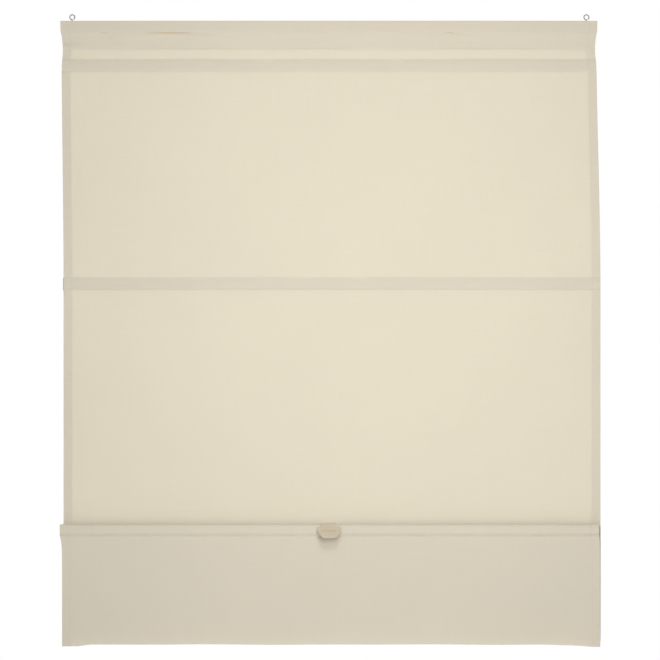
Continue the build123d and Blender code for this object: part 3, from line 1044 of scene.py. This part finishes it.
class BLIND_OT_stitching(bpy.types.Operator):
    """Running stitches along the seams of every pocket and the head's hem, in front and behind"""

    bl_idname = "blind.stitching"
    bl_label = "Stitching"

    def execute(self, context):
        s = sizes()
        size = context.scene.blind_stitches
        out = CLOTH_T / 2
        rows = {body: [] for body in BODY_OF_RIB.values()}

        def add(body, level, front_y, behind_y, gaps=()):
            """A row in front and one behind at a height; front_y gives the cloth's face at places."""
            x = np.arange(*STITCH_ENDS, size.pitch)
            for left, right in gaps:
                x = x[(x < left) | (x > right)]
            z = np.full_like(x, level)
            for y, outward in ((front_y(x, z), -1), (np.full_like(x, behind_y), 1)):
                rows[body].append(stitch_row(np.stack([x, y, z], -1), size, outward))

        for rib in (1, 2, 3):
            for d in (-SEAM_LINE, SEAM_LINE):
                add(
                    BODY_OF_RIB[rib],
                    RIB_Z[rib] + d,
                    lambda x, z: hanging_relief(x, z) - out,
                    s.seam_pull + 2 * s.layer_gap + out,
                    tape_gaps(rib) if d > 0 else (),
                )
        add(
            BODY_OF_RIB[4],
            RIB_Z[4] - SEAM_LINE,
            lambda x, z: FLAP_Y + pocket_relief(x, z - RIB_Z[4], 4) - out,
            FLAP_Y + s.seam_pull + 2 * s.layer_gap + out,
        )
        add(
            BODY_OF_RIB[1],
            CLOTH_TOP - s.head_hem + HEM_SEAM,
            lambda x, z: hanging_relief(x, z) - out - drape_under(z, WRAP_Y, FRONT_DRAPE),
            s.layer_gap + out,
        )
        for body, made in rows.items():
            stitch_piece(f"stitches_{body}", made, body)
        return {"FINISHED"}


# ---------------------------------------------------------------- finishes of the hard pieces


class BLIND_OT_hard_finishes(bpy.types.Operator):
    """Timber, zinc-plated wire, aluminium and moulded plastic on the pieces that keep their CAD shape"""

    bl_idname = "blind.hard_finishes"
    bl_label = "Hard finishes"

    def execute(self, context):
        colours = context.scene.blind_colours
        # The finish of the nodes whose names start so
        finishes = {
            "head_batten": timber_finish(colours.timber),
            "screw_eye": metal_finish("zinc_plated_wire", (0.30, 0.31, 0.32), 0.36, (500, 500, 60)),
            "batten_": metal_finish("satin_aluminium", (0.90, 0.905, 0.91), 0.36, (8, 900, 900)),
            "end_plug": plastic_finish("white_plug_plastic", (0.78, 0.77, 0.74), 0.45, 0.05),
            "rib_hook": plastic_finish("clear_white_hook_plastic", (0.74, 0.73, 0.70), 0.4, 0.15),
            "lift_handle": plastic_finish("beige_handle_plastic", colours.handle, 0.38, 0.12),
        }
        for start, material in finishes.items():
            for node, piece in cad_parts.items():
                if node.startswith(start):
                    for slot in piece.material_slots:
                        slot.material = material
        return {"FINISHED"}


# ---------------------------------------------------------------- stage


def aim(thing, place, target):
    """Puts a camera or light at a place, facing a target."""
    thing.location = place
    direction = [t - p for t, p in zip(target, place)]
    thing.rotation_mode = "QUATERNION"
    thing.rotation_quaternion = Vector(direction).to_track_quat("-Z", "Y")
    bpy.context.scene.collection.objects.link(thing)


def soft_light(name, power, size, place, target):
    """A rectangular light of a width and height, at a place, facing a target."""
    light = bpy.data.lights.new(name, "AREA")
    light.shape = "RECTANGLE"
    light.size, light.size_y = size
    light.energy = power
    light.color = (1.0, 0.985, 0.96)
    aim(bpy.data.objects.new(name, light), place, target)


class BLIND_OT_stage(bpy.types.Operator):
    """Camera square to the cloth, two soft lights in front, white surroundings and a pale floor"""

    bl_idname = "blind.stage"
    bl_label = "Stage"

    def execute(self, context):
        s = context.scene.blind_stage
        camera = bpy.data.cameras.new("camera")
        camera.sensor_width = 36.0
        camera.lens = camera.sensor_width * s.distance / s.field
        camera.clip_end = 100.0
        eye = bpy.data.objects.new("camera", camera)
        aim(eye, (s.centre_x, -s.distance, s.centre_z), (s.centre_x, 0.0, s.centre_z))
        context.scene.camera = eye

        soft_light("key_light", s.key_power, *KEY_LIGHT)
        soft_light("fill_light", s.fill_power, *FILL_LIGHT)

        angle = np.linspace(0, 2 * np.pi, FLOOR_SIDES + 1)[:-1]
        height = np.full(FLOOR_SIDES, CAD_BOX[0].z - FLOOR_DROP)
        ring = np.stack([FLOOR_RADIUS * np.cos(angle), FLOOR_RADIUS * np.sin(angle), height], -1)
        mesh = bpy.data.meshes.new("floor")
        mesh.from_pydata(ring.tolist(), [], [list(range(FLOOR_SIDES))])
        floor = bpy.data.objects.new("floor", mesh)
        context.scene.collection.objects.link(floor)
        shader = shader_for("pale_floor")
        cloud = shader.noise(shader.place(), (3.0, 3.0, 3.0), 3.0)
        tone = shader.blend(cloud, shaded((0.83, 0.83, 0.82)), shaded((0.87, 0.87, 0.86)))
        surface = shader.principled({"Base Color": tone, "Roughness": 0.7})
        floor.data.materials.append(shader.finish(surface))

        # The surroundings brighten smoothly from in front of the blind to behind it.
        world = bpy.data.worlds.new("surroundings")
        sky = Shader(world)
        way = sky.split(sky.node("ShaderNodeTexCoord", {}, {})["Generated"])["Y"]
        brightness = sky.node("ShaderNodeMapRange", {"interpolation_type": "SMOOTHSTEP"}, {
            "Value": way,
            "From Min": -0.1,
            "From Max": 0.6,
            "To Min": s.front_light,
            "To Max": s.back_light,
        })["Result"]
        light = {"Color": shaded((1.0, 1.0, 1.0)), "Strength": brightness}
        light = sky.node("ShaderNodeBackground", {}, light)["Background"]
        sky.node("ShaderNodeOutputWorld", {}, {"Surface": light})
        context.scene.world = world
        context.scene.view_settings.view_transform = "Standard"
        return {"FINISHED"}


class BLIND_PT_panel(bpy.types.Panel):
    """The blind's pieces and their sizes"""

    bl_idname = "BLIND_PT_panel"
    bl_label = "Roman Blind"
    bl_space_type = "VIEW_3D"
    bl_region_type = "UI"
    bl_category = "Blind"

    def draw(self, context):
        for group in (getattr(context.scene, name) for name in GROUPS):
            for name in group.bl_rna.properties.keys():
                if name not in ("rna_type", "name"):
                    self.layout.prop(group, name)
        for operator in OPERATORS:
            self.layout.operator(operator.bl_idname)


GROUPS = {
    "blind_cloth": BlindClothSizes,
    "blind_stitches": BlindStitchSizes,
    "blind_colours": BlindColours,
    "blind_stage": BlindStageSizes,
}
OPERATORS = (
    BLIND_OT_stage,
    BLIND_OT_head_cloth,
    BLIND_OT_panels,
    BLIND_OT_folded_loop,
    BLIND_OT_flap_cloth,
    BLIND_OT_pocket_tapes,
    BLIND_OT_stitching,
    BLIND_OT_hard_finishes,
)


def register():
    for group in GROUPS.values():
        bpy.utils.register_class(group)
    for name, group in GROUPS.items():
        setattr(bpy.types.Scene, name, PointerProperty(type=group))
    for operator in OPERATORS:
        bpy.utils.register_class(operator)
    bpy.utils.register_class(BLIND_PT_panel)


def unregister():
    bpy.utils.unregister_class(BLIND_PT_panel)
    for operator in reversed(OPERATORS):
        bpy.utils.unregister_class(operator)
    for name in GROUPS:
        delattr(bpy.types.Scene, name)
    for group in reversed(GROUPS.values()):
        bpy.utils.unregister_class(group)


def main():
    register()
    bpy.ops.blind.stage()
    bpy.ops.blind.head_cloth()
    bpy.ops.blind.panels()
    bpy.ops.blind.folded_loop()
    bpy.ops.blind.flap_cloth()
    bpy.ops.blind.pocket_tapes()
    bpy.ops.blind.stitching()
    bpy.ops.blind.hard_finishes()


if __name__ == "__main__":
    main()
